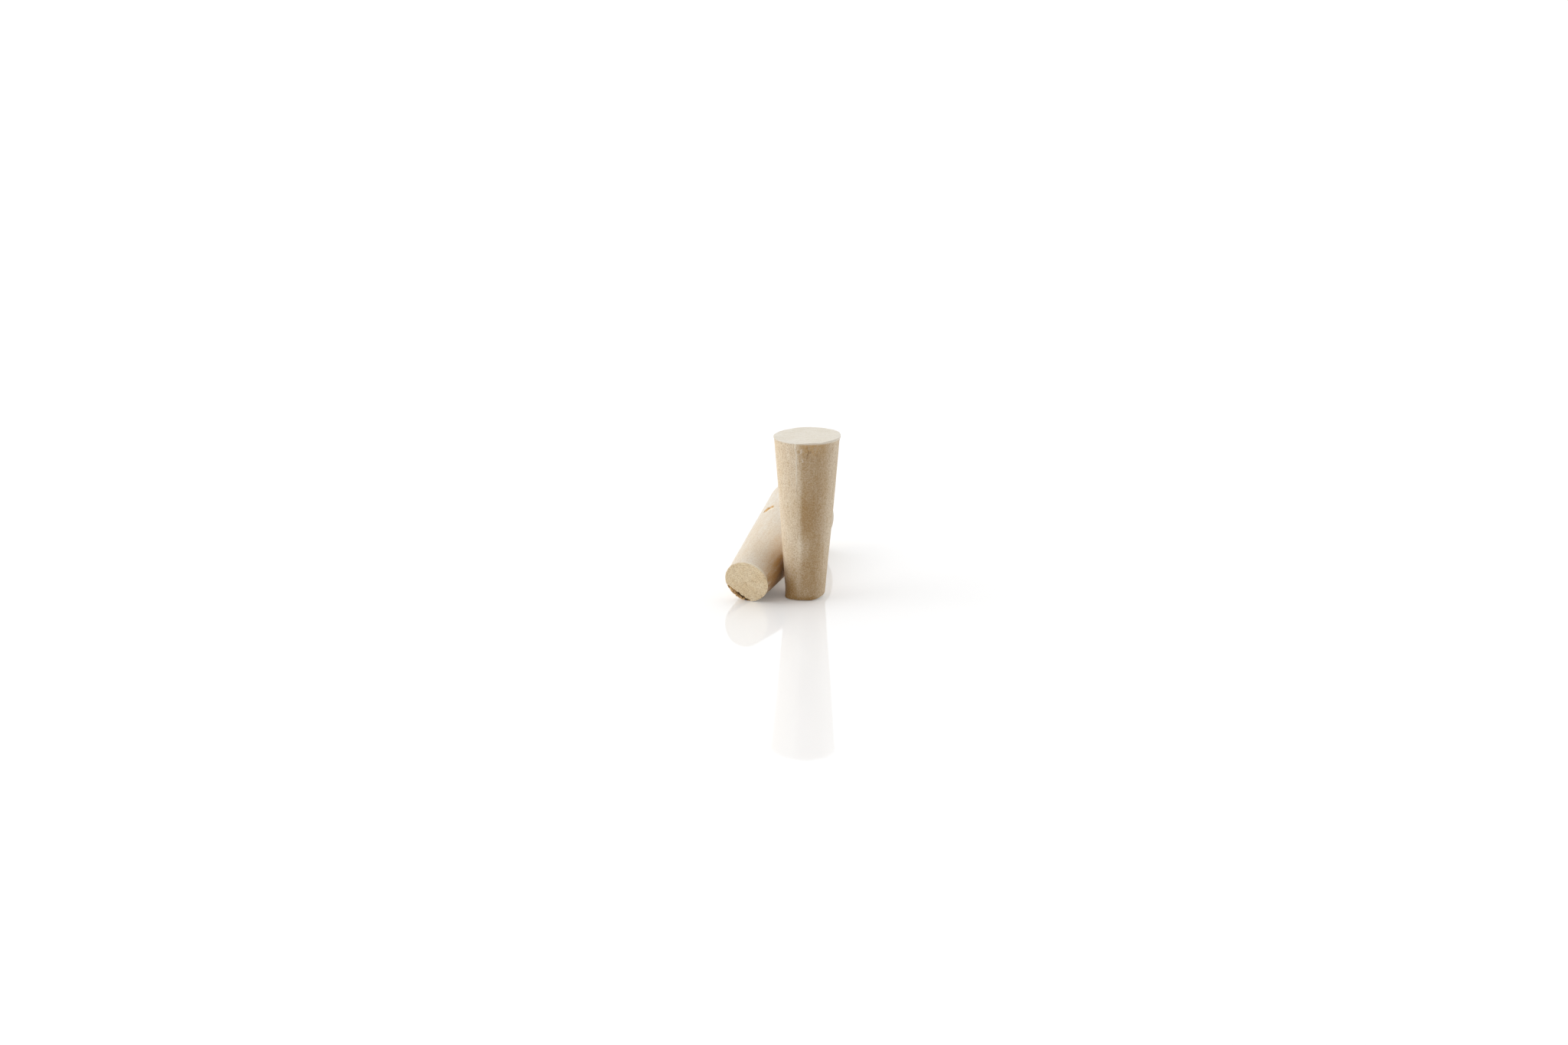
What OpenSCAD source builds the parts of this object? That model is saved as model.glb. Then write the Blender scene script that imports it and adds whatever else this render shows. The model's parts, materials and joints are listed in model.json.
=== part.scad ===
// A pair of loose tapered round plugs, turned from pale wood and saw cut at both ends.
// One stands upright on its narrow end. The other, a size bigger, lies on its side behind it
// and to its left, with its narrow end to the front. Nothing joins them: each plug is one
// solid piece of wood, and the standing one can be lifted away.
// Millimetres, +Z up, -Y to the front, z = 0 is the surface that both plugs rest on. The origin
// is the centre of the standing plug's narrow end.

/* [Standing plug] */
// Length of the standing plug along its axis
standing_length = 40; // [30:0.5:60]
// Diameter of its narrow end, which it stands on
standing_narrow_d = 9.4; // [7:0.1:11]
// Diameter of its wide end, at the top
standing_wide_d = 15.7; // [13:0.1:17]
// Slope of the saw cut across its top, in degrees: how much it rises to the right
top_cut_right = 2; // [-4:0.5:4]
// Slope of the short second cut that lifts the right edge of its foot, in degrees
foot_cut_angle = 14; // [5:1:25]
// Distance from the axis at which that second cut begins
foot_cut_start = 1.7; // [1:0.1:4]

/* [Lying plug] */
// Length of the lying plug along its axis
lying_length = 48; // [36:0.5:60]
// Diameter of its narrow end, at the front
lying_narrow_d = 10.7; // [8:0.1:12]
// Diameter of its wide end, at the back
lying_wide_d = 18; // [15:0.1:20]
// Slope of the saw cut across its narrow end, in degrees: how much it overhangs at the top
front_cut_overhang = 12; // [0:1:15]
// How much that cut is turned to the left, in degrees
front_cut_left = 2.5; // [-6:0.5:6]
// Slope of the saw cut across its wide end, in degrees: how much longer it leaves the left side
back_cut_left = 3; // [-6:0.5:6]

/* [Where the lying plug is] */
// Middle of its narrow end to the left of the standing plug's axis
lying_left = 14; // [13.5:0.1:20]
// Middle of its narrow end in front of the standing plug's axis
lying_front = 6.6; // [4:0.1:10]
// Heading from its narrow end to its wide end, in degrees from the right towards the back
lying_heading = 74.7; // [74:0.1:100]

/* [Torn edge of the lying plug] */
// How far the torn edge reaches in from the rim of the narrow end
tear_depth = 1.2; // [0.3:0.1:2]
// How far the torn edge reaches back along the plug
tear_length = 1.5; // [0.5:0.1:2.5]
// Where the torn edge is, in degrees round the narrow end from its lowest point to the left
tear_turn = 42; // [15:1:60]

/* [Hidden] */
$fn = 128;

// Extra wood that a saw cut takes off, and the size of a block that stands for what is cut away
spare = 4;
waste = 60;

// Change of radius per millimetre along each plug
standing_taper = (standing_wide_d - standing_narrow_d) / 2 / standing_length;
lying_taper = (lying_wide_d - lying_narrow_d) / 2 / lying_length;
// A cone lying on its side has its axis raised by its own half angle
lying_rise = atan(lying_taper);
lying_narrow_r = lying_narrow_d / 2;

// The turned blank: a cone from z = 0 to its length, carried on past both ends for the saw
module blank(narrow_d, len, taper, below, above) {
    translate([0, 0, -below])
        cylinder(d1 = narrow_d - 2 * taper * below,
                 d2 = narrow_d + 2 * taper * (len + above),
                 h = below + len + above);
}

// The half space below z = 0, which a saw cut takes away
module below_cut() {
    translate([-waste / 2, -waste / 2, -waste])
        cube(waste);
}

// A plug stood on its narrow end, with a slanted cut across its top and a nicked foot
module standing_plug() {
    color("burlywood")
        difference() {
            blank(standing_narrow_d, standing_length, standing_taper, 0, spare);
            translate([0, 0, standing_length])
                rotate([180, -top_cut_right, 0])
                    below_cut();
            translate([foot_cut_start, 0, 0])
                rotate([0, -foot_cut_angle, 0])
                    below_cut();
        }
}

// The lying plug before it is laid down: narrow end at the origin, axis up, top side to -X
module lying_blank() {
    difference() {
        blank(lying_narrow_d, lying_length, lying_taper, spare, spare);
        rotate([front_cut_left, -front_cut_overhang, 0]) {
            below_cut();
            torn_edge();
        }
        translate([0, 0, lying_length])
            rotate([180 + back_cut_left, 0, 0])
                below_cut();
    }
}

// The broken edge of the narrow end, as one flat facet across the lower left of its rim
module torn_edge() {
    rotate([0, 0, tear_turn])
        translate([lying_narrow_r - tear_depth, 0, 0])
            rotate([0, -atan2(tear_length, tear_depth), 0])
                below_cut();
}

// The plug laid on its side, resting along its whole length on z = 0
module lying_plug() {
    color("wheat")
        translate([-lying_left, -lying_front, lying_narrow_r * cos(lying_rise)])
            rotate([0, 90 - lying_rise, lying_heading])
                lying_blank();
}

standing_plug();
lying_plug();
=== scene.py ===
"""Two loose tapered wooden plugs: one stands on its narrow end, one lies on its side behind it.

Each plug is one turned piece of wood, built here as a dense mesh around its packed cone, with the
marks that it has: saw cuts, a torn edge, a knot hole, raised fibres and stains. Shade is also painted
into the wood's colour in places, and a highlight along one rim.
A plug's mesh is in its own axes, in millimetres until the last step: z runs from the middle of the
narrow end to the wide end. On the lying plug y is up and x is to the left, as seen from the front.
Angles round a plug run from its x axis towards its y axis, so -90 is the front of the standing plug
and the underside of the lying one.
"""

import json
import math
from types import SimpleNamespace

import bpy
import numpy as np
from mathutils import Matrix, Vector


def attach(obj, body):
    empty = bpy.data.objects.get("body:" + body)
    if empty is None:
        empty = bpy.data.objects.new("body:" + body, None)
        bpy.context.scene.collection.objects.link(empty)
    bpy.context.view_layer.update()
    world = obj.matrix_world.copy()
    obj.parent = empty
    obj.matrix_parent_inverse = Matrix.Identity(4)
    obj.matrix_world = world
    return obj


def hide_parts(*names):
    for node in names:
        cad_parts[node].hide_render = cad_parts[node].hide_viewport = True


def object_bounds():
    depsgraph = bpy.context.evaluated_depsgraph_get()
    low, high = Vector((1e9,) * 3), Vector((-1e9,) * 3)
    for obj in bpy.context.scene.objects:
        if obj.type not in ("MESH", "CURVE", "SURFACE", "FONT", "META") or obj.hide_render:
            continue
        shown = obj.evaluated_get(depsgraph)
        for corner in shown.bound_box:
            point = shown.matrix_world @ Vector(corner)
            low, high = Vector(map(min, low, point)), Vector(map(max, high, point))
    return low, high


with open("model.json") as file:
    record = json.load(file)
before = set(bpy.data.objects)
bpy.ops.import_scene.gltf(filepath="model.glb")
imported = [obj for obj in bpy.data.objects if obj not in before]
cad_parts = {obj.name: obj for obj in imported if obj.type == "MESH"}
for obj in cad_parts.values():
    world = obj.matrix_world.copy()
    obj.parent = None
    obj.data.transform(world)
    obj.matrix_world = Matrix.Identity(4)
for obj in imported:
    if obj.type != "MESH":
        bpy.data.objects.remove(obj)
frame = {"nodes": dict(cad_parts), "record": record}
cad_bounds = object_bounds()

MM = 0.001
TO_MM = (1000, 1000, 1000)

# Camera: where it stands, where it points and its lens, in metres, degrees and millimetres
CAMERA_PLACE = (0.0, -0.52, 0.176)
CAMERA_DOWN = 16.87
CAMERA_LEFT = 0.58
CAMERA_ROLL = 0.57
CAMERA_LENS = 51.92
SENSOR_WIDTH = 36.0

# How finely the plugs are meshed
AROUND = 320
SIDE_RINGS = 210
FACE_RINGS = 42
ARC_RINGS = 4
FACE_CROWDING = 1.2
ANGLE_CROWDING = 0.4
RING_CROWDING = 0.6
# How often each rim is refined until its face and its side wall meet
RIM_PASSES = 6

# Studio light by direction: the tent itself, and what is added towards the camera and each side
TENT_LIGHT = 1.022
TENT_SHADE = -0.75
TENT_LEFT = 0.50
TENT_RIGHT = -0.05
TENT_BACK = 0.25
# Half the floor's width in metres, and the light that its white acrylic passes from below
FLOOR_HALF = 6.0
FLOOR_GLOW = 0.065

# How many random numbers the noise draws on
NOISE_TABLE = 4096

rng = np.random.default_rng(7)


# ---------------------------------------------------------------- numbers and noise

def smooth(low, high, value):
    """0 below low, 1 above high, and a smooth ramp between them."""
    share = np.clip((value - low) / (high - low), 0, 1)
    return share * share * (3 - 2 * share)


def bump(value, middle, half_width):
    """1 at the middle, falling smoothly to 0 at half_width on either side."""
    return 1 - smooth(0, 1, np.abs(value - middle) / half_width)


def turn_from(theta, degrees):
    """How far each angle is from a direction given in degrees, in degrees from -180 to 180."""
    return (np.degrees(theta) - degrees + 180) % 360 - 180


def lattice_noise(points, seed):
    """Smooth noise from -1 to 1 at each row of points, with one cell to the unit."""
    table = np.random.default_rng(seed).uniform(-1, 1, NOISE_TABLE)
    cell = np.floor(points).astype(np.int64)
    part = points - cell
    part = part * part * (3 - 2 * part)
    total = np.zeros(points.shape[:-1])
    for corner in np.ndindex(2, 2, 2):
        weight = np.prod(np.where(corner, part, 1 - part), axis=-1)
        spot = cell + corner
        index = spot[..., 0] * 73856093 ^ spot[..., 1] * 19349663 ^ spot[..., 2] * 83492791
        total += weight * table[index % NOISE_TABLE]
    return total


def noise(x, y, z, cell, seed, octaves=2):
    """Layered noise of millimetre coordinates. cell is its size in mm along x, y and z."""
    points = np.stack(np.broadcast_arrays(x, y, z), -1) / np.array(cell, float)
    total = np.zeros(points.shape[:-1])
    for octave in range(octaves):
        total += lattice_noise(points * 2 ** octave + 17.3 * octave, seed + octave) / 2 ** octave
    return total


# ---------------------------------------------------------------- the plugs' cones, from the frame

MOUNTS = {m["name"]: m for m in frame["record"]["mounts"]}


def slopes(axes, normal):
    """How a face with this normal rises along a plug's own x and y."""
    n = axes.transposed() @ Vector(normal)
    return -n.x / n.z, -n.y / n.z


def read_plug(node, narrow, wide):
    """A plug's axes, cone and saw cuts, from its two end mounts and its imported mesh."""
    start = Vector(MOUNTS[narrow]["pos_m"])
    along = Vector(MOUNTS[wide]["pos_m"]) - start
    z = along.normalized()
    across = Vector((0, 0, 1)).cross(z)
    x = across.normalized() if across.length > 0.01 else Vector((1, 0, 0))
    axes = Matrix((x, z.cross(x), z)).transposed()
    place = Matrix.Translation(start) @ axes.to_4x4()
    own = [place.inverted() @ v.co for v in frame["nodes"][node].data.vertices]
    height = np.array([p.z for p in own]) / MM
    radius = np.array([math.hypot(p.x, p.y) for p in own]) / MM
    on_side = radius > 0.5 * radius.max()
    taper, narrow_r = np.polyfit(height[on_side], radius[on_side], 1)
    return SimpleNamespace(
        place=place, length=along.length / MM, taper=taper, narrow_r=narrow_r,
        narrow_slopes=slopes(axes, MOUNTS[narrow]["axis"]),
        wide_slopes=slopes(axes, MOUNTS[wide]["axis"]),
    )


# ---------------------------------------------------------------- building a plug's mesh

def rim(plug, theta, face, side):
    """Radius of the rim where an end face meets the side wall, all the way round."""
    radius = np.full_like(theta, plug.narrow_r)
    for _ in range(RIM_PASSES):
        height = face(radius * np.cos(theta), radius * np.sin(theta))
        radius = plug.narrow_r + plug.taper * height + side(theta, height)
    return radius


def face_shares():
    """Radii of an end face's rings as shares of its own radius, from the middle, crowded at the rim."""
    inset = (np.arange(FACE_RINGS, 0, -1) / FACE_RINGS) ** FACE_CROWDING
    return 1 - inset[1:]


def end_rings(plug, theta, face, side, edge, inward):
    """Rings from the middle of an end face out over its rounded rim. inward is +1 or -1 along z."""
    radius = rim(plug, theta, face, side)
    rings = []
    for share in face_shares():
        r = (radius - edge) * share
        rings.append((r, face(r * np.cos(theta), r * np.sin(theta)), 1.0))
    for step in range(ARC_RINGS + 1):
        angle = math.radians(90 * (1 - step / ARC_RINGS))
        r = radius - edge * (1 - math.cos(angle))
        z = face(r * np.cos(theta), r * np.sin(theta)) + inward * edge * (1 - math.sin(angle))
        rings.append((r, z, math.sin(angle)))
    return rings


def side_rings(plug, theta, side, low, high, crowd):
    """Rings up the side wall between two heights, closer together where crowd says."""
    steps = np.linspace(0, 1, SIDE_RINGS + 2)[1:-1]
    rings = []
    for share in crowd(steps):
        z = low + (high - low) * share
        rings.append((plug.narrow_r + plug.taper * z + side(theta, z), z, 0.0))
    return rings


def angles(focus):
    """Directions round the plug, closer together round focus, which is in degrees."""
    even = np.linspace(0, 2 * math.pi, AROUND, endpoint=False)
    return even - ANGLE_CROWDING * np.sin(even) + math.radians(focus)


def plug_grid(plug, shape):
    """The plug's rings as arrays of radius, angle, height and share of end face."""
    theta = angles(shape.focus)
    narrow = end_rings(plug, theta, shape.narrow_face, shape.side, shape.narrow_edge(theta), 1)
    wide = end_rings(plug, theta, shape.wide_face, shape.side, shape.wide_edge(theta), -1)
    wall = side_rings(plug, theta, shape.side, narrow[-1][1], wide[-1][1], shape.crowd)
    rings = narrow + wall + wide[::-1]
    radius = np.array([r for r, _, _ in rings])
    height = np.array([z for _, z, _ in rings])
    end = np.array([np.full_like(theta, e) for _, _, e in rings])
    return radius, np.broadcast_to(theta, radius.shape), height, end


def ring_faces(rows, columns):
    """Quads between neighbouring rings, and a fan at each end onto two middle vertices."""
    index = np.arange(rows * columns).reshape(rows, columns)
    after = np.roll(index, -1, axis=1)
    quads = np.stack([index[:-1], after[:-1], after[1:], index[1:]], -1).reshape(-1, 4)
    first, last = rows * columns, rows * columns + 1
    fans = [(first, after[0, i], index[0, i]) for i in range(columns)]
    fans += [(last, index[-1, i], after[-1, i]) for i in range(columns)]
    return quads.tolist() + fans


def plug_object(name, plug, shape, masks):
    """The plug's mesh object, in its own axes, with each mask kept as a named attribute."""
    radius, theta, height, end = plug_grid(plug, shape)
    x, y = radius * np.cos(theta), radius * np.sin(theta)
    middles = np.array([[0, 0, float(shape.narrow_face(np.zeros(1), np.zeros(1))[0])],
                        [0, 0, float(shape.wide_face(np.zeros(1), np.zeros(1))[0])]])
    points = np.concatenate([np.stack([x, y, height], -1).reshape(-1, 3), middles])
    mesh = bpy.data.meshes.new(name)
    mesh.from_pydata((points * MM).tolist(), [], ring_faces(*radius.shape))
    for mask, values in {"end_grain": end, **masks(x, y, height, theta, end)}.items():
        full = np.append(values.ravel(), [values[0, 0], values[-1, 0]])
        attribute = mesh.attributes.new(mask, "FLOAT", "POINT")
        attribute.data.foreach_set("value", full.astype(np.float32))
    mesh.polygons.foreach_set("use_smooth", [True] * len(mesh.polygons))
    mesh.update()
    piece = bpy.data.objects.new(name, mesh)
    bpy.context.scene.collection.objects.link(piece)
    piece.matrix_world = plug.place
    return piece


def turned_side(theta, z, narrow_r, seed):
    """What the lathe left on any side wall: slow flats along the grain and fine lifted fibres."""
    x, y = narrow_r * np.cos(theta), narrow_r * np.sin(theta)
    flats = 0.05 * noise(x, y, z, (5, 5, 22), seed)
    fibres = 0.012 * noise(x, y, z, (0.3, 0.3, 3.5), seed + 5)
    return flats + fibres


def saw_marks(x, y, heading, seed):
    """Shallow arcs that the saw left across an end face, in mm. heading is in degrees."""
    a = math.radians(heading)
    across = x * math.cos(a) + y * math.sin(a)
    along = -x * math.sin(a) + y * math.cos(a)
    arcs = np.sin(2 * math.pi * (across + 0.012 * along ** 2) / 0.9)
    flat_middle = smooth(0.2, 1.6, np.hypot(x, y))
    return flat_middle * (0.012 * arcs + 0.015 * noise(x, y, 0 * x, (0.7, 0.7, 1), seed))


# ---------------------------------------------------------------- the standing plug

# The slanted cut that lifts the right edge of the foot, as in the CAD
FOOT_CUT_ANGLE = 14
FOOT_CUT_START = 1.7
# The squarish corner at the front left of the foot, where contact shade is painted over it
FOOT_CORNER = 0.55
FOOT_CORNER_TURN = -150
# The thin raised ridge down the front, and the curled fibres to the right of its top
RIDGE_TURN = -109.5
RIDGE_LOW = 26.0
CURL_TURN = -99
CURL_LOW = 34.0
CURL_HIGH = 39.0
# Where the front of the top rim rises and dips
RIM_RISE_TURN = -84
RIM_DIP_TURN = -66
# The rust-coloured patch under the top rim and the dark flecks in it
RUST_TURN = -82
FLECK_TURN = -84
FLECK_HEIGHT = 37.6
# The brown smudge right of the ridge and the paler patch below it
SMUDGE_HEIGHT = 22.5
CLEAR_TURN = -96
CLEAR_HEIGHT = 13.0


def ridge_wander(z):
    """How far the thin ridge strays from its direction at each height, in degrees."""
    return 1.1 * np.sin(z * 0.42) + 0.5 * np.sin(z * 1.9 + 1)


def curl_share(theta, z):
    """Where the curled fibres beside the top of the ridge are, from 0 to 1."""
    wander = 3.0 * np.sin(z * 2.3) + 2.2 * np.sin(z * 5.3 + 2)
    broken = smooth(-0.5, 0.2, noise(0 * z, 0 * z, z, (1, 1, 0.5), 45))
    on_curl = smooth(CURL_LOW, CURL_LOW + 1.0, z) * (1 - smooth(CURL_HIGH - 0.8, CURL_HIGH, z))
    return bump(turn_from(theta, CURL_TURN + wander), 0, 2.6) * on_curl * broken


def standing_foot(x, y):
    """The narrow face: flat to stand on, cut away at a slant on the right, worn at the front."""
    nick = np.maximum(x - FOOT_CUT_START, 0) * math.tan(math.radians(FOOT_CUT_ANGLE))
    worn = 0.16 * smooth(3.4, 4.9, -y)
    return nick + worn + 0.02 * noise(x, y, 0 * x, (0.8, 0.8, 1), 11) ** 2


def standing_top(plug):
    """The wide face: a slanted saw cut with shallow arcs and an uneven front rim."""
    rise_x, rise_y = plug.wide_slopes

    def face(x, y):
        plane = plug.length + rise_x * x + rise_y * y
        theta = np.arctan2(y, x)
        rim_share = smooth(5.5, 7.8, np.hypot(x, y))
        rise = 0.07 * bump(turn_from(theta, RIM_RISE_TURN), 0, 15)
        dip = 0.12 * bump(turn_from(theta, RIM_DIP_TURN), 0, 14)
        worn = 0.06 * noise(x, y, 0 * x, (2.2, 2.2, 1), 21)
        return plane + saw_marks(x, y, 62, 22) + rim_share * (rise - dip + worn)
    return face


def standing_side(plug):
    """The side wall: lathe marks, a thin ridge, curled fibres, a squarish foot and a burr on top."""
    def side(theta, z):
        wall = turned_side(theta, z, plug.narrow_r, 31)
        ridge_turn = turn_from(theta, RIDGE_TURN + ridge_wander(z))
        on_ridge = smooth(RIDGE_LOW - 4, RIDGE_LOW + 2, z)
        ridge = 0.045 * bump(ridge_turn, 0, 1.6) + 0.13 * np.clip(1 - np.abs(ridge_turn) / 20, 0, 1)
        curls = 0.06 * curl_share(theta, z)
        swell = 0.10 * bump(z, 0.55 * plug.length, 0.45 * plug.length) * np.cos(theta)
        corner = FOOT_CORNER * bump(turn_from(theta, FOOT_CORNER_TURN), 0, 36) * (1 - smooth(0, 2.6, z))
        burr_round = 0.5 + 0.5 * np.cos(theta) ** 2
        torn = 1 + 0.4 * noise(7 * np.cos(theta), 7 * np.sin(theta), 0 * theta, (0.8, 0.8, 1), 35)
        burr = 0.20 * burr_round * torn * smooth(plug.length - 0.9, plug.length - 0.1, z)
        return wall + ridge * on_ridge + curls + swell + corner + burr
    return side


def standing_brown_and_shade(z, theta, ragged):
    """How brown the side is: painted shade on the front and foot, a part-shade band, a smudge, a pale
    patch.
    """
    right = turn_from(theta, RIDGE_TURN)
    # band: darker brown right of the ridge, partly painted shade of the front and partly a streak in the
    # wood
    band = smooth(2, 14, right + 3 * ragged) * (1 - smooth(42, 82, right)) * smooth(2, 12, z)
    smudge = smooth(-8, 8, right) * (1 - smooth(25, 52, right)) * bump(z, SMUDGE_HEIGHT, 10.0)
    # corner: painted contact shade at the front left of the foot, next to the lying plug
    corner = bump(turn_from(theta, FOOT_CORNER_TURN), 0, 42) * (1 - smooth(2.5, 9.5, z))
    # painted contact shade along the bottom of the side wall
    foot_contact_shade = (1 - smooth(0.2, 1.6, z)) * (0.5 + 0.4 * ragged)
    # low: painted shade low on the side, where the foot meets the floor and the lying plug
    low = 0.55 * (1 - smooth(2, 14, z + 2 * ragged)) * smooth(-45, -5, right)
    low = low * (1 - 0.6 * smooth(35, 80, right))
    # shade: painted shade over the front, which faces away from the light
    shade = 0.17 * (1 - smooth(55, 100, np.abs(right - 45)))
    clear = 0.30 * bump(turn_from(theta, CLEAR_TURN), 0, 26) * bump(z, CLEAR_HEIGHT, 5.5)
    brown = shade + 0.50 * band + 0.17 * smudge * (1 + 0.3 * ragged) - clear
    return brown + 0.85 * corner + 0.6 * foot_contact_shade + low


def rust_and_flecks(x, y, z, theta, ragged):
    """The rust-coloured patch under the top rim, and the dark flecks in it."""
    broken = noise(x, y, z, (0.3, 0.3, 0.9), 43)
    rust = bump(turn_from(theta, RUST_TURN), 0, 40) * smooth(35.2, 39.4, z + 0.9 * ragged)
    rust = rust * np.clip(0.6 + 0.8 * broken, 0, 1)
    flecks = smooth(0.15, 0.7, broken) * bump(turn_from(theta, FLECK_TURN), 0, 34)
    return rust, flecks * bump(z, FLECK_HEIGHT, 2.6)


def standing_masks(plug):
    """Where the standing plug is stained, streaked and fuzzy, and where shade is painted on it."""
    def masks(x, y, z, theta, end):
        off = 1 - end
        ragged = noise(x, y, z, (1.6, 1.6, 4), 41)
        rust, flecks = rust_and_flecks(x, y, z, theta, ragged)
        ridge = bump(turn_from(theta, RIDGE_TURN + ridge_wander(z)), 0, 1.8)
        ridge = ridge * smooth(RIDGE_LOW - 3, RIDGE_LOW + 2, z) * (0.75 + 0.35 * ragged)
        rim_fuzz = smooth(plug.length - 0.5, plug.length - 0.05, z)
        # painted shade on the foot's rounded bottom rim, which the floor would light
        foot_rim_shade = 0.8 * (1 - smooth(0.1, 0.6, z)) * smooth(4.1, 4.6, np.hypot(x, y))
        return {
            "brown": np.clip(off * standing_brown_and_shade(z, theta, ragged) + foot_rim_shade, 0, 1),
            "rust": off * np.clip(0.65 * rust, 0, 1),
            "dark": off * np.clip(0.65 * flecks, 0, 1),
            "pale": np.clip(off * (0.55 * ridge + 0.5 * curl_share(theta, z) + 0.8 * rim_fuzz), 0, 1),
        }
    return masks


# ---------------------------------------------------------------- the lying plug

# The torn edge of the narrow end: its direction, its distance from the axis, and how much of the
# plug's length counts as its narrow part
TEAR_TURN = -48
TEAR_CHORD = 4.0
NARROW_PART = 6.0
# The nick, the chipped part, the lip and the burr of the narrow end's rim, and its painted highlight
NICK_TURN = 161
CHIPS_TURN = -135
LIP_TURN = 125
BURR_TURN = 55
RIM_HIGHLIGHT_TURN = 120
# The knot hole: its middle, its size and its slant from straight across the plug
KNOT_TURN = 61
KNOT_ALONG = 31.6
KNOT_HALF_LENGTH = 1.55
KNOT_HALF_WIDTH = 1.1
KNOT_SLANT = 33
# The crease between the knot hole and the narrow end
CREASE_TURN = 57
CREASE_ALONG = 25.5
# The peach tint of painted warm shade on the upper right flank, the painted shade on the flank
# # next to the standing plug, and the painted shade of the underside
PEACH_TURN = 125
SHADE_BESIDE_TURN = 164
UNDERSIDE_TURN = -165


def tear_depth(x, y):
    """How deep the torn edge of the narrow end goes, in mm."""
    a = math.radians(TEAR_TURN)
    out = x * math.cos(a) + y * math.sin(a)
    along = -x * math.sin(a) + y * math.cos(a)
    edge = TEAR_CHORD + 0.12 * np.maximum(along, 0) - 0.15 * np.maximum(-1.5 - along, 0)
    past = out - edge - 0.16 * noise(along, 0 * x, 0 * x, (0.7, 1, 1), 51)
    gaping = 1 - smooth(-0.7, 0.9, along)
    width = 0.12 + 0.50 * gaping * (0.8 + 0.5 * noise(along, 0 * x, 0 * x, (0.5, 1, 1), 53))
    crevice = (0.9 + 2.1 * gaping) * smooth(0.0, 0.12, past) * (1 - smooth(0.6, 1.4, past / width))
    ragged = np.clip(0.16 + 0.30 * noise(x, y, 0 * x, (0.30, 0.30, 1), 55), 0.08, 0.45)
    return np.maximum(crevice, smooth(0.0, 0.2, past) * ragged)


def lying_front(plug):
    """The narrow face: a slanted saw cut with a torn lower left edge and a nick at the right."""
    rise_x, rise_y = plug.narrow_slopes

    def face(x, y):
        theta = np.arctan2(y, x)
        rho = np.hypot(x, y)
        plane = rise_x * x + rise_y * y
        nick = 0.5 * bump(turn_from(theta, NICK_TURN), 0, 6) * smooth(4.6, 5.3, rho)
        chipped = bump(turn_from(theta, CHIPS_TURN), 0, 42) * smooth(4.3, 5.4, rho)
        chips = 0.35 * chipped * np.maximum(noise(x, y, 0 * x, (0.6, 0.6, 1), 61) + 0.3, 0)
        lip = -0.12 * bump(turn_from(theta, LIP_TURN), 0, 50) * smooth(4.95, 5.3, rho)
        return plane + saw_marks(x, y, -35, 62) + nick + chips + lip + tear_depth(x, y)
    return face


def lying_back(plug):
    """The wide face, a plain saw cut with a worn rim."""
    rise_x, rise_y = plug.wide_slopes

    def face(x, y):
        worn = 0.12 * noise(x, y, 0 * x, (2.4, 2.4, 1), 66) * smooth(7.0, 9.0, np.hypot(x, y))
        return plug.length + rise_x * x + rise_y * y + saw_marks(x, y, 20, 67) + worn
    return face


def rim_height(plug, theta):
    """Height of the narrow end's rim in each direction, in mm."""
    rise_x, rise_y = plug.narrow_slopes
    return plug.narrow_r * (rise_x * np.cos(theta) + rise_y * np.sin(theta))


def knot_place(theta, z, radius):
    """Position along and across the knot hole, in mm."""
    around = np.radians(turn_from(theta, KNOT_TURN)) * radius
    a = math.radians(KNOT_SLANT)
    along = around * math.cos(a) + (z - KNOT_ALONG) * math.sin(a)
    across = -around * math.sin(a) + (z - KNOT_ALONG) * math.cos(a)
    return along, across


def lying_side(plug):
    """The side wall: lathe marks, the knot hole with its lips, a crease and a burr at the rim."""
    def side(theta, z):
        z = z + 0 * theta
        wall = turned_side(theta, z, plug.narrow_r, 71)
        radius = plug.narrow_r + plug.taper * z
        along, across = knot_place(theta, z, radius)
        across = across + 0.30 * noise(along, 0 * along, 0 * along, (0.5, 1, 1), 73)
        width = KNOT_HALF_WIDTH * np.sqrt(np.clip(1 - (along / KNOT_HALF_LENGTH) ** 2, 0, 1)) + 1e-3
        pit = -0.38 * (1 - smooth(0.55, 1.2, np.abs(across) / width))
        pit = pit * (np.abs(along) < KNOT_HALF_LENGTH)
        pit = pit * (1 + 0.5 * noise(along, across, 0 * along, (0.35, 0.6, 1), 74))
        lip_share = bump(along, 0, KNOT_HALF_LENGTH * 1.3)
        lip = lip_share * (0.12 * bump(across, -1.5, 0.8) + 0.05 * bump(across, 1.4, 0.6))
        crease = -0.06 * bump(turn_from(theta, CREASE_TURN + 3 * np.sin(z)), 0, 1.6)
        crease = crease * bump(z, CREASE_ALONG, 3.2)
        ragged = 1 + 0.3 * noise(6 * np.cos(theta), 6 * np.sin(theta), 0 * theta, (0.9, 0.9, 1), 75)
        burr = 0.18 * bump(turn_from(theta, BURR_TURN), 0, 110) * ragged
        burr = burr * (1 - smooth(0.0, 0.9, z - rim_height(plug, theta)))
        return wall + pit + lip + crease + burr
    return side


def knot_shares(plug, x, y, z, theta):
    """Where the knot hole, its pale lip and its dark cracks are, from 0 to 1."""
    along, across = knot_place(theta, z, plug.narrow_r + plug.taper * z)
    spread = np.hypot(along / KNOT_HALF_LENGTH, across / KNOT_HALF_WIDTH)
    uneven = 0.25 * noise(along, across, 0 * along, (0.5, 0.9, 1), 83)
    knot = 1 - smooth(0.75, 1.25, spread + uneven)
    lip = bump(along, 0, KNOT_HALF_LENGTH * 1.3) * bump(across, -1.6, 0.8)
    cracks = knot * smooth(0.2, 0.6, noise(x, y, z, (0.5, 0.5, 1.2), 85))
    return knot, lip, cracks


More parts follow.
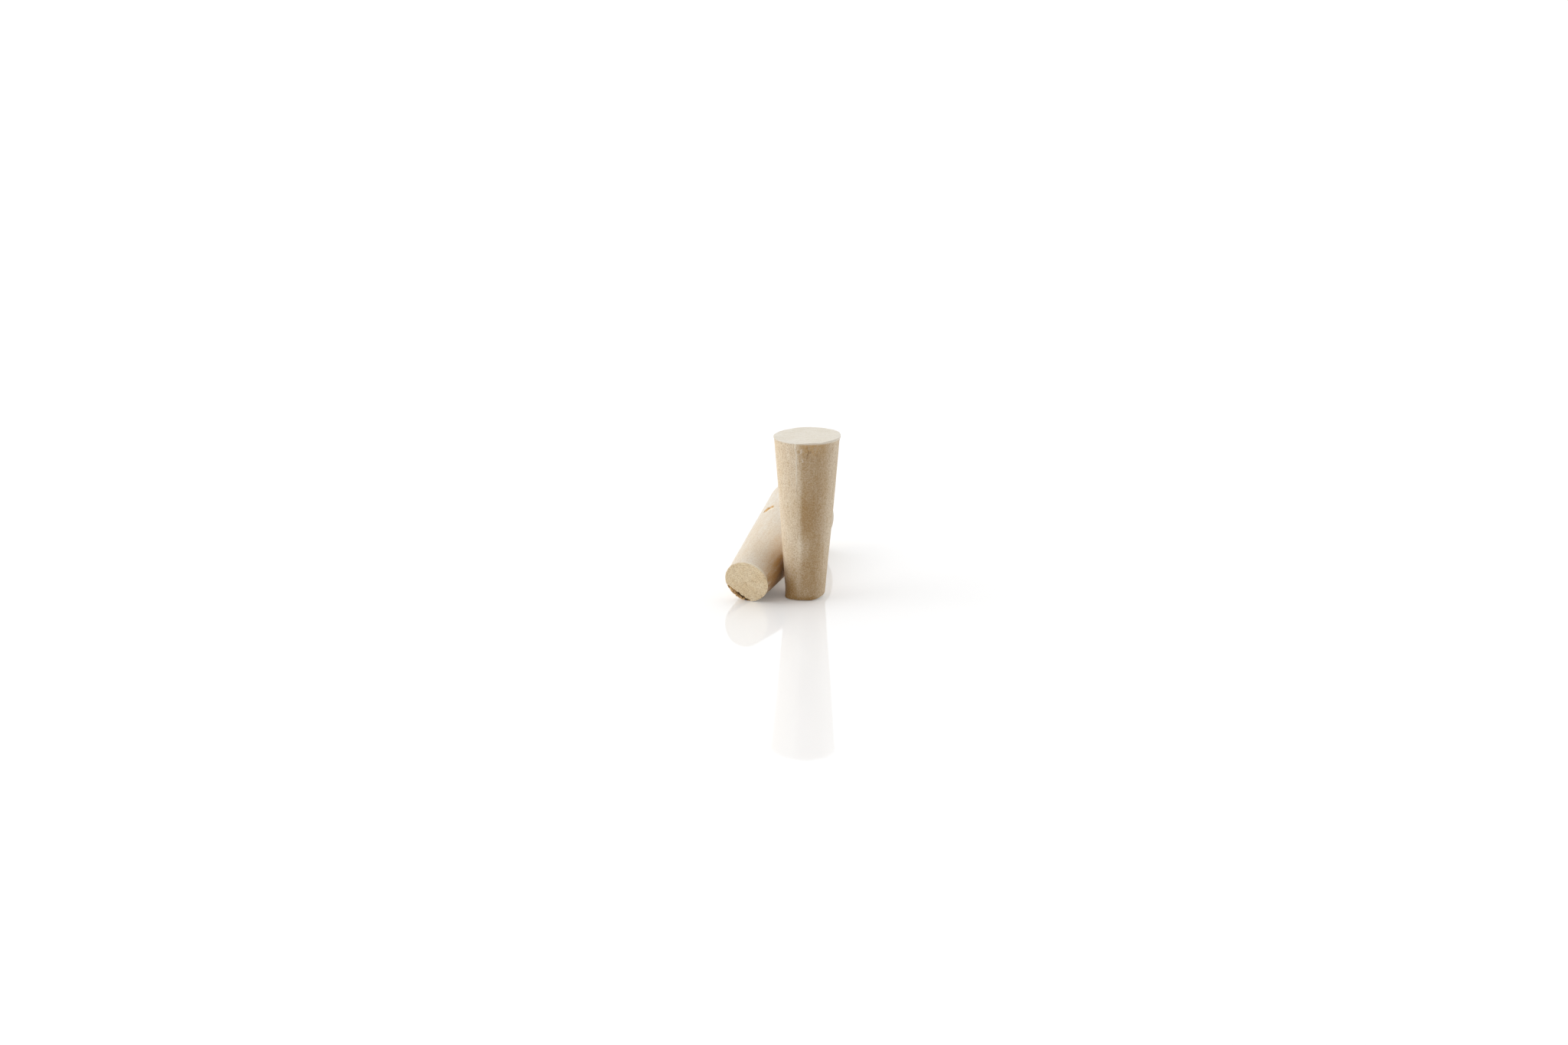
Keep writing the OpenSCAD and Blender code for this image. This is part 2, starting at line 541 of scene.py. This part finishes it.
def flank_shade(x, y, z, theta, ragged):
    """Painted shade: on the underside, and on the flank next to the standing plug."""
    grain = 1 + 0.22 * noise(x, y, z, (0.6, 0.6, 7), 89)
    # painted shade of the underside, strongest in the narrow half
    under = bump(turn_from(theta, UNDERSIDE_TURN), 0, 68) * (0.6 + 0.4 * smooth(0, 6, z))
    under = under * (1 - smooth(16, 36, z))
    # painted shade on the flank next to the standing plug
    beside = bump(turn_from(theta, SHADE_BESIDE_TURN), 0, 60) * smooth(-9, 9, z) * (1 - smooth(14, 36, z))
    return under * (1.1 + 0.3 * ragged) * grain, beside * grain


def lying_masks(plug):
    """Where the lying plug is torn, cracked and pale, with painted shade on it and a painted highlight."""
    def masks(x, y, z, theta, end):
        off = 1 - end
        ragged = noise(x, y, z, (1.8, 1.8, 5), 81)
        knot, lip, cracks = knot_shares(plug, x, y, z, theta)
        brown, beside = flank_shade(x, y, z, theta, ragged)
        from_rim = z - rim_height(plug, theta)
        near_rim = np.maximum(end * (z < NARROW_PART), 1 - smooth(0.2, 1.5, from_rim))
        depth = tear_depth(x, y)
        torn = smooth(0.02, 0.07, depth) * near_rim
        # painted shade in the gaps between torn fibres
        gap_shade = torn * smooth(0.1, 0.5, noise(x, y, z, (0.24, 0.24, 1.5), 88))
        # deep: painted shade at the bottom of the tear's crevice
        deep = near_rim * smooth(0.45, 0.8, depth)
        # peach: painted warm shade on the upper right flank
        peach = bump(turn_from(theta, PEACH_TURN), 0, 50) * (0.3 + 0.4 * ragged)
        # painted highlight along the upper right of the narrow end's rim
        rim_highlight = bump(turn_from(theta, RIM_HIGHLIGHT_TURN), 0, 60) * (1 - smooth(0.2, 0.9, from_rim)) * off
        return {
            # brown here is all painted shade; rust also carries painted shade; dark carries painted shade
            # in the tear
            "brown": off * np.clip(brown + 0.42 * beside, 0, 1),
            "rust": np.clip(off * (knot + 0.18 * peach + 0.38 * beside) + 0.85 * torn, 0, 1),
            "dark": np.clip(deep + 0.6 * gap_shade + off * 0.15 * cracks, 0, 1),
            "pale": np.clip(off * lip + 0.8 * rim_highlight, 0, 1),
        }
    return masks


# ---------------------------------------------------------------- splinters and loose fibres

# How many splinters are tried or made in each place, and how many rings of points each one has
TEAR_TRIES = 520
KNOT_SPLINTERS = 90
RIM_FIBRES = 260
SLIVER_RINGS = 4


def sliver(base, tip, half_width, half_depth, across):
    """A tapering, slightly bent splinter as rings of four points, in mm. It ends in one point."""
    axis = tip - base
    side = np.cross(axis, across)
    side = side / (np.linalg.norm(side) + 1e-9)
    other = np.cross(side, axis)
    other = other / (np.linalg.norm(other) + 1e-9)
    sag = 0.12 * np.linalg.norm(axis) * rng.uniform(-1, 1) * other
    points, faces = [], []
    for step in range(SLIVER_RINGS):
        share = step / SLIVER_RINGS
        middle = base + axis * share + sag * math.sin(math.pi * share)
        size = 1 - 0.8 * share ** 1.5
        for a, b in ((1, 0), (0, 1), (-1, 0), (0, -1)):
            points.append(middle + size * (a * half_width * side + b * half_depth * other))
    points.append(tip)
    for step in range(SLIVER_RINGS - 1):
        for k in range(4):
            a, b = 4 * step + k, 4 * step + (k + 1) % 4
            faces.append((a, b, b + 4, a + 4))
    last = 4 * (SLIVER_RINGS - 1)
    faces += [(last + k, last + (k + 1) % 4, 4 * SLIVER_RINGS) for k in range(4)]
    faces.append((3, 2, 1, 0))
    return points, faces


def splinter_object(name, plug, slivers):
    """One mesh of many splinters, each with its own shade from 0 to 1 in the attribute shade."""
    points, faces, shades = [], [], []
    for base, tip, half_width, half_depth, across in slivers:
        new_points, new_faces = sliver(base, tip, half_width, half_depth, across)
        faces += [tuple(i + len(points) for i in face) for face in new_faces]
        points += new_points
        shades += [rng.uniform(0, 1)] * len(new_points)
    mesh = bpy.data.meshes.new(name)
    mesh.from_pydata((np.array(points) * MM).tolist(), [], faces)
    attribute = mesh.attributes.new("shade", "FLOAT", "POINT")
    attribute.data.foreach_set("value", np.array(shades, np.float32))
    mesh.update()
    piece = bpy.data.objects.new(name, mesh)
    bpy.context.scene.collection.objects.link(piece)
    piece.matrix_world = plug.place
    return piece


def tear_splinters(plug, face):
    """Broken fibres that stand up out of the torn edge, along the grain."""
    slivers = []
    a = math.radians(TEAR_TURN)
    for _ in range(TEAR_TRIES):
        along = rng.uniform(-3.6, 2.8)
        out = rng.uniform(TEAR_CHORD - 0.1, plug.narrow_r + 0.1)
        x = out * math.cos(a) - along * math.sin(a)
        y = out * math.sin(a) + along * math.cos(a)
        depth = float(tear_depth(np.array([x]), np.array([y]))[0])
        if math.hypot(x, y) > plug.narrow_r - 0.22 or depth < 0.12:
            continue
        z = float(face(np.array([x]), np.array([y]))[0])
        in_crevice = depth > 0.8
        if in_crevice and rng.uniform() < 0.93:
            continue
        base = np.array([x, y, z + 0.12])
        reach = depth * (rng.uniform(0.1, 0.5) if in_crevice else rng.uniform(0.5, 1.1))
        tilt = rng.normal(0, 0.16) * np.array([math.cos(a), math.sin(a)])
        lean = tilt + rng.normal(0, 0.30) * np.array([-math.sin(a), math.cos(a)])
        tip = base + np.array([lean[0], lean[1], -0.12 - reach])
        slivers.append((base, tip, rng.uniform(0.06, 0.14), rng.uniform(0.04, 0.07), rng.normal(0, 1, 3)))
    return splinter_object("lying_tear_splinters", plug, slivers)


def knot_splinters(plug):
    """Short broken fibres in the knot hole."""
    slivers = []
    a = math.radians(KNOT_SLANT)
    for _ in range(KNOT_SPLINTERS):
        along = rng.uniform(-0.9, 0.9) * KNOT_HALF_LENGTH
        room = KNOT_HALF_WIDTH * math.sqrt(1 - (along / KNOT_HALF_LENGTH) ** 2)
        across = rng.uniform(-0.8, 0.8) * room
        around = along * math.cos(a) - across * math.sin(a)
        z = KNOT_ALONG + along * math.sin(a) + across * math.cos(a)
        radius = plug.narrow_r + plug.taper * z
        theta = math.radians(KNOT_TURN) + around / radius
        out = np.array([math.cos(theta), math.sin(theta), 0.0])
        base = out * (radius - 0.45) + np.array([0, 0, z])
        tip = out * (radius - rng.uniform(-0.08, 0.25)) + np.array([0, 0, z]) + rng.normal(0, 0.16, 3)
        slivers.append((base, tip, rng.uniform(0.05, 0.12), rng.uniform(0.03, 0.06), rng.normal(0, 1, 3)))
    return splinter_object("lying_knot_splinters", plug, slivers)


def rim_fibres(plug, side):
    """Fine fuzz that the saw left hanging on the front of the standing plug's top rim."""
    slivers = []
    rise_x, rise_y = plug.wide_slopes
    for _ in range(RIM_FIBRES):
        theta = math.radians(rng.uniform(-165, -15))
        z = plug.length - rng.uniform(0.0, 0.25)
        radius = plug.narrow_r + plug.taper * z + float(side(np.array([theta]), z)[0])
        out = np.array([math.cos(theta), math.sin(theta), 0.0])
        z += (rise_x * out[0] + rise_y * out[1]) * radius
        base = out * (radius - 0.12) + np.array([0, 0, z])
        length = rng.uniform(0.10, 0.32)
        swing = rng.normal(0, 0.5, 3) + out * 0.5 + np.array([0, 0, -0.55])
        tip = base + out * 0.12 + swing / np.linalg.norm(swing) * length
        slivers.append((base, tip, rng.uniform(0.015, 0.04), rng.uniform(0.01, 0.025), rng.normal(0, 1, 3)))
    return splinter_object("standing_rim_fibres", plug, slivers)


# ---------------------------------------------------------------- materials

def add(tree, kind, inputs=None, **settings):
    """A new node with its settings, and with each input set to a value or linked to a socket."""
    node = tree.nodes.new(kind)
    for key, value in settings.items():
        setattr(node, key, value)
    for key, value in (inputs or {}).items():
        if isinstance(value, bpy.types.NodeSocket):
            tree.links.new(value, node.inputs[key])
        else:
            node.inputs[key].default_value = value
    return node


def math_node(tree, operation, first, second):
    return add(tree, "ShaderNodeMath", {0: first, 1: second}, operation=operation).outputs[0]


def mix_colour(tree, share, first, second):
    node = add(tree, "ShaderNodeMix", data_type="RGBA")
    for socket, value in ((node.inputs[0], share), (node.inputs[6], first), (node.inputs[7], second)):
        if isinstance(value, bpy.types.NodeSocket):
            tree.links.new(value, socket)
        else:
            socket.default_value = value
    return node.outputs[2]


def ramp(tree, value, low, high):
    """Value mapped from low..high to 0..1, clamped."""
    return add(tree, "ShaderNodeMapRange", {0: value, 1: low, 2: high}).outputs[0]


def noise_node(tree, vector, scale, detail=3.0, roughness=0.55):
    inputs = {"Vector": vector, "Scale": scale, "Detail": detail, "Roughness": roughness}
    return add(tree, "ShaderNodeTexNoise", inputs).outputs["Fac"]


def stretched(tree, vector, scale):
    return add(tree, "ShaderNodeMapping", {"Vector": vector, "Scale": scale}).outputs[0]


def attribute(tree, name):
    return add(tree, "ShaderNodeAttribute", attribute_name=name).outputs["Fac"]


def growth_rings(tree, own, pith, spacing):
    """Growth rings about a pith that lies outside the plug, from 0 to 1. own is in millimetres."""
    wobble = noise_node(tree, own, 0.12, 2.0)
    away = add(tree, "ShaderNodeVectorMath", {0: own, 1: pith}, operation="SUBTRACT").outputs[0]
    flat = add(tree, "ShaderNodeVectorMath", {0: away, 1: (1, 1, 0.03)}, operation="MULTIPLY").outputs[0]
    distance = add(tree, "ShaderNodeVectorMath", {0: flat}, operation="LENGTH").outputs["Value"]
    rings = math_node(tree, "ADD", math_node(tree, "DIVIDE", distance, spacing),
                      math_node(tree, "MULTIPLY", wobble, 1.6))
    return math_node(tree, "PINGPONG", rings, 0.5)


def layer(tree, colour, value, low, high, strength, over):
    """Another colour laid over this one where a pattern runs from low to high."""
    share = math_node(tree, "MULTIPLY", ramp(tree, value, low, high), strength)
    return mix_colour(tree, share, colour, over)


def wood_material(name, look):
    """Bare turned wood: side grain and end grain, growth rings, speckle, stains, torn fibres and painted
    shade and highlight.
    """
    material = bpy.data.materials.new(name)
    material.use_nodes = True
    tree = material.node_tree
    shader = tree.nodes["Principled BSDF"]
    place = add(tree, "ShaderNodeTexCoord").outputs["Object"]
    own = add(tree, "ShaderNodeVectorMath", {0: place, 1: TO_MM}, operation="MULTIPLY").outputs[0]

    rings = growth_rings(tree, own, look.pith, look.ring_spacing)
    streaks = noise_node(tree, stretched(tree, own, (2.0, 2.0, 0.12)), 1.0, 5.0, 0.62)
    speckle = noise_node(tree, stretched(tree, own, (3.6, 3.6, 3.2)), 1.0, 3.0, 0.75)
    mottle = noise_node(tree, stretched(tree, own, (1.1, 1.1, 0.7)), 1.0, 3.0, 0.6)
    blotch = noise_node(tree, stretched(tree, own, (0.22, 0.22, 0.08)), 1.0, 3.0)
    pores = noise_node(tree, own, 5.5, 2.0, 0.6)

    side = mix_colour(tree, ramp(tree, blotch, 0.35, 0.68), look.side_pale, look.side_tan)
    side = layer(tree, side, streaks, 0.42, 0.72, 0.40, look.side_streak)
    side = layer(tree, side, rings, 0.30, 0.50, 0.15, look.side_streak)
    side = layer(tree, side, mottle, 0.48, 0.70, 0.60 * look.speckle, look.side_streak)
    side = layer(tree, side, speckle, 0.48, 0.66, look.speckle, look.speck_dark)
    side = layer(tree, side, speckle, 0.50, 0.30, 0.55 * look.speckle, look.speck_pale)
    end = mix_colour(tree, ramp(tree, blotch, 0.35, 0.65), look.end_pale, look.end_tan)
    end = layer(tree, end, rings, 0.24, 0.50, 0.16, look.end_ring)
    end = layer(tree, end, mottle, 0.48, 0.70, 0.30, look.end_ring)
    end = layer(tree, end, speckle, 0.49, 0.66, look.end_speckle, look.end_ring)
    end = layer(tree, end, speckle, 0.50, 0.32, 0.8 * look.end_speckle, look.fibre)
    end = layer(tree, end, pores, 0.54, 0.66, 0.25, look.end_ring)

    colour = mix_colour(tree, attribute(tree, "end_grain"), side, end)
    # the brown, rust, dark and pale layers carry painted shade and a painted highlight as well as stains
    brown = math_node(tree, "MULTIPLY", attribute(tree, "brown"), ramp(tree, speckle, -0.25, 0.55))
    colour = mix_colour(tree, brown, colour, look.brown)
    rust = math_node(tree, "MULTIPLY", attribute(tree, "rust"), ramp(tree, speckle, 0.15, 0.6))
    colour = mix_colour(tree, rust, colour, look.rust)
    colour = mix_colour(tree, attribute(tree, "pale"), colour, look.fibre)
    colour = mix_colour(tree, attribute(tree, "dark"), colour, look.dark)
    tree.links.new(colour, shader.inputs["Base Color"])

    rough = math_node(tree, "ADD", math_node(tree, "MULTIPLY", streaks, 0.22), 0.55)
    tree.links.new(rough, shader.inputs["Roughness"])
    shader.inputs["Specular IOR Level"].default_value = 0.28
    relief = math_node(tree, "ADD", math_node(tree, "MULTIPLY", streaks, 0.5), speckle)
    relief = math_node(tree, "ADD", relief, math_node(tree, "MULTIPLY", pores, 0.4))
    inputs = {"Height": relief, "Strength": 0.6, "Distance": 0.00008}
    tree.links.new(add(tree, "ShaderNodeBump", inputs).outputs[0], shader.inputs["Normal"])
    return material


def splinter_material(name, pale, deep):
    """Freshly broken fibres, from pale to golden, each splinter in its own shade."""
    material = bpy.data.materials.new(name)
    material.use_nodes = True
    tree = material.node_tree
    shader = tree.nodes["Principled BSDF"]
    place = add(tree, "ShaderNodeTexCoord").outputs["Object"]
    fine = noise_node(tree, place, 2600.0, 2.0)
    colour = mix_colour(tree, attribute(tree, "shade"), pale, deep)
    colour = mix_colour(tree, math_node(tree, "MULTIPLY", ramp(tree, fine, 0.4, 0.7), 0.4), colour, deep)
    tree.links.new(colour, shader.inputs["Base Color"])
    rough = math_node(tree, "ADD", math_node(tree, "MULTIPLY", fine, 0.2), 0.5)
    tree.links.new(rough, shader.inputs["Roughness"])
    inputs = {"Height": fine, "Strength": 0.4, "Distance": 0.00003}
    tree.links.new(add(tree, "ShaderNodeBump", inputs).outputs[0], shader.inputs["Normal"])
    return material


# On the standing plug, brown is the colour of stains and of painted shade.
STANDING_LOOK = SimpleNamespace(
    pith=(30.0, 75.0, 0.0), ring_spacing=1.7, speckle=0.66, end_speckle=0.30,
    side_pale=(0.86, 0.76, 0.61, 1), side_tan=(0.79, 0.66, 0.48, 1), side_streak=(0.64, 0.47, 0.28, 1),
    speck_dark=(0.42, 0.27, 0.13, 1), speck_pale=(0.92, 0.83, 0.68, 1),
    end_pale=(0.83, 0.79, 0.71, 1), end_tan=(0.78, 0.73, 0.63, 1), end_ring=(0.62, 0.54, 0.42, 1),
    brown=(0.36, 0.20, 0.06, 1), rust=(0.66, 0.38, 0.11, 1), fibre=(0.90, 0.85, 0.75, 1),
    dark=(0.16, 0.08, 0.03, 1),
)
# On the lying plug, brown and dark are the colours of painted shade, and rust is partly painted shade.
LYING_LOOK = SimpleNamespace(
    pith=(-60.0, 40.0, 0.0), ring_spacing=2.1, speckle=0.48, end_speckle=0.85,
    side_pale=(0.79, 0.75, 0.67, 1), side_tan=(0.77, 0.68, 0.55, 1), side_streak=(0.70, 0.57, 0.42, 1),
    speck_dark=(0.56, 0.41, 0.26, 1), speck_pale=(0.87, 0.83, 0.75, 1),
    end_pale=(0.90, 0.75, 0.52, 1), end_tan=(0.84, 0.66, 0.41, 1), end_ring=(0.56, 0.40, 0.22, 1),
    brown=(0.27, 0.125, 0.035, 1), rust=(0.76, 0.43, 0.12, 1), fibre=(0.92, 0.84, 0.68, 1),
    dark=(0.05, 0.018, 0.006, 1),
)


# ---------------------------------------------------------------- camera, floor and lights

def make_camera():
    data = bpy.data.cameras.new("camera")
    data.lens = CAMERA_LENS
    data.sensor_width = SENSOR_WIDTH
    data.clip_start = 0.005
    data.clip_end = 50
    camera = bpy.data.objects.new("camera", data)
    turn = Matrix.Rotation(math.radians(CAMERA_LEFT), 4, "Z")
    tilt = Matrix.Rotation(math.radians(90 - CAMERA_DOWN), 4, "X")
    roll = Matrix.Rotation(math.radians(CAMERA_ROLL), 4, "Z")
    camera.matrix_world = Matrix.Translation(CAMERA_PLACE) @ turn @ tilt @ roll
    bpy.context.scene.collection.objects.link(camera)
    bpy.context.scene.camera = camera


def floor_material():
    """Glossy white acrylic that shows a faint, soft reflection."""
    material = bpy.data.materials.new("white_acrylic")
    material.use_nodes = True
    shader = material.node_tree.nodes["Principled BSDF"]
    shader.inputs["Base Color"].default_value = (0.96, 0.96, 0.96, 1)
    shader.inputs["Roughness"].default_value = 0.04
    shader.inputs["Specular IOR Level"].default_value = 0.5
    shader.inputs["Emission Color"].default_value = (1, 1, 1, 1)
    shader.inputs["Emission Strength"].default_value = FLOOR_GLOW
    return material


def make_floor():
    corners = [(x * FLOOR_HALF, y * FLOOR_HALF, 0) for x, y in ((-1, -1), (1, -1), (1, 1), (-1, 1))]
    mesh = bpy.data.meshes.new("floor")
    mesh.from_pydata(corners, [], [(0, 1, 2, 3)])
    mesh.materials.append(floor_material())
    floor = bpy.data.objects.new("floor", mesh)
    bpy.context.scene.collection.objects.link(floor)


def soft_light(name, place, size, power):
    """A square soft box that points at the middle of the plugs."""
    data = bpy.data.lights.new(name, "AREA")
    data.size = size
    data.energy = power
    light = bpy.data.objects.new(name, data)
    light.location = place
    low, high = cad_bounds
    aim = (low + high) / 2 - Vector(place)
    light.rotation_euler = aim.to_track_quat("-Z", "Y").to_euler()
    light.visible_camera = False
    bpy.context.scene.collection.objects.link(light)


def facing(tree, direction, low, high, gain):
    """A patch of studio light or shade: 0 away from a direction, and gain towards it."""
    seen = add(tree, "ShaderNodeTexCoord").outputs["Generated"]
    towards = tuple(Vector(direction).normalized())
    product = add(tree, "ShaderNodeVectorMath", {0: seen, 1: towards}, operation="DOT_PRODUCT")
    share = product.outputs["Value"]
    inputs = {0: share, 1: low, 2: high, 3: 0.0, 4: gain}
    return add(tree, "ShaderNodeMapRange", inputs, interpolation_type="SMOOTHSTEP").outputs[0]


def make_world():
    """A white light tent: plain white to look at, brighter at the left, dark behind the camera."""
    world = bpy.data.worlds.new("studio")
    world.use_nodes = True
    tree = world.node_tree
    background = tree.nodes["Background"]
    background.inputs["Color"].default_value = (1, 1, 1, 1)
    light = math_node(tree, "ADD", TENT_LIGHT, facing(tree, (0, -1, 0.15), 0.0, 0.9, TENT_SHADE))
    light = math_node(tree, "ADD", light, facing(tree, (-1, -0.15, 0.2), 0.3, 0.95, TENT_LEFT))
    light = math_node(tree, "ADD", light, facing(tree, (1, -0.1, 0.2), 0.4, 0.95, TENT_RIGHT))
    light = math_node(tree, "ADD", light, facing(tree, (0, 1, 0), 0.9, 1.0, TENT_BACK))
    seen = add(tree, "ShaderNodeLightPath").outputs["Is Camera Ray"]
    strength = add(tree, "ShaderNodeMix", {0: seen, 2: light, 3: 1.0}).outputs[0]
    tree.links.new(strength, background.inputs["Strength"])
    bpy.context.scene.world = world


def make_lights():
    soft_light("left_box", (-0.70, -0.10, 0.35), 0.5, 1.2)
    soft_light("right_box", (0.70, 0.10, 0.30), 0.5, 0.4)
    bpy.context.scene.view_settings.view_transform = "Standard"


# ---------------------------------------------------------------- putting it together

def settle(piece, body, material, node=None):
    """Gives a piece its material and its body, and hides the CAD node that it stands for."""
    piece.data.materials.append(material)
    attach(piece, body)
    if node:
        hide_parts(node)


def crowd_evenly(share):
    return share


def crowd_near(middle):
    """Rings up to 2.5 times closer together near one share of a plug's length."""
    def crowd(share):
        wave = RING_CROWDING / (2 * math.pi)
        at_ends = wave * math.sin(2 * math.pi * middle)
        return share - wave * np.sin(2 * math.pi * (share - middle)) - at_ends
    return crowd


def uneven_edge(size, change, seed):
    """The radius of a worn rim in each direction, in mm."""
    def edge(theta):
        x, y = 6 * np.cos(theta), 6 * np.sin(theta)
        return size + change * noise(x, y, 0 * theta, (1.5, 1.5, 1), seed)
    return edge


def make_standing_plug():
    plug = read_plug("standing_plug", "standing_base", "standing_head")
    side = standing_side(plug)
    shape = SimpleNamespace(
        focus=-90, side=side, narrow_face=standing_foot, wide_face=standing_top(plug),
        narrow_edge=uneven_edge(0.22, 0.12, 91), wide_edge=uneven_edge(0.10, 0.04, 92),
        crowd=crowd_evenly,
    )
    wood = plug_object("standing_plug_wood", plug, shape, standing_masks(plug))
    grain = wood_material("standing_wood", STANDING_LOOK)
    settle(wood, "standing_plug", grain, "standing_plug")
    fibres = rim_fibres(plug, side)
    look = splinter_material("rim_fibre", (0.86, 0.82, 0.72, 1), (0.74, 0.64, 0.47, 1))
    settle(fibres, "standing_plug", look)


def make_lying_plug():
    plug = read_plug("lying_plug", "lying_front", "lying_back")
    front = lying_front(plug)
    shape = SimpleNamespace(
        focus=30, side=lying_side(plug), narrow_face=front, wide_face=lying_back(plug),
        narrow_edge=uneven_edge(0.10, 0.04, 93), wide_edge=uneven_edge(0.14, 0.06, 94),
        crowd=crowd_near(KNOT_ALONG / plug.length),
    )
    wood = plug_object("lying_plug_wood", plug, shape, lying_masks(plug))
    grain = wood_material("lying_wood", LYING_LOOK)
    settle(wood, "lying_plug", grain, "lying_plug")
    broken = splinter_material("broken_fibre", (0.90, 0.69, 0.41, 1), (0.38, 0.17, 0.04, 1))
    settle(tear_splinters(plug, front), "lying_plug", broken)
    golden = splinter_material("golden_fibre", (0.95, 0.84, 0.52, 1), (0.80, 0.48, 0.12, 1))
    settle(knot_splinters(plug), "lying_plug", golden)


make_camera()
make_world()
make_floor()
make_lights()
make_standing_plug()
make_lying_plug()
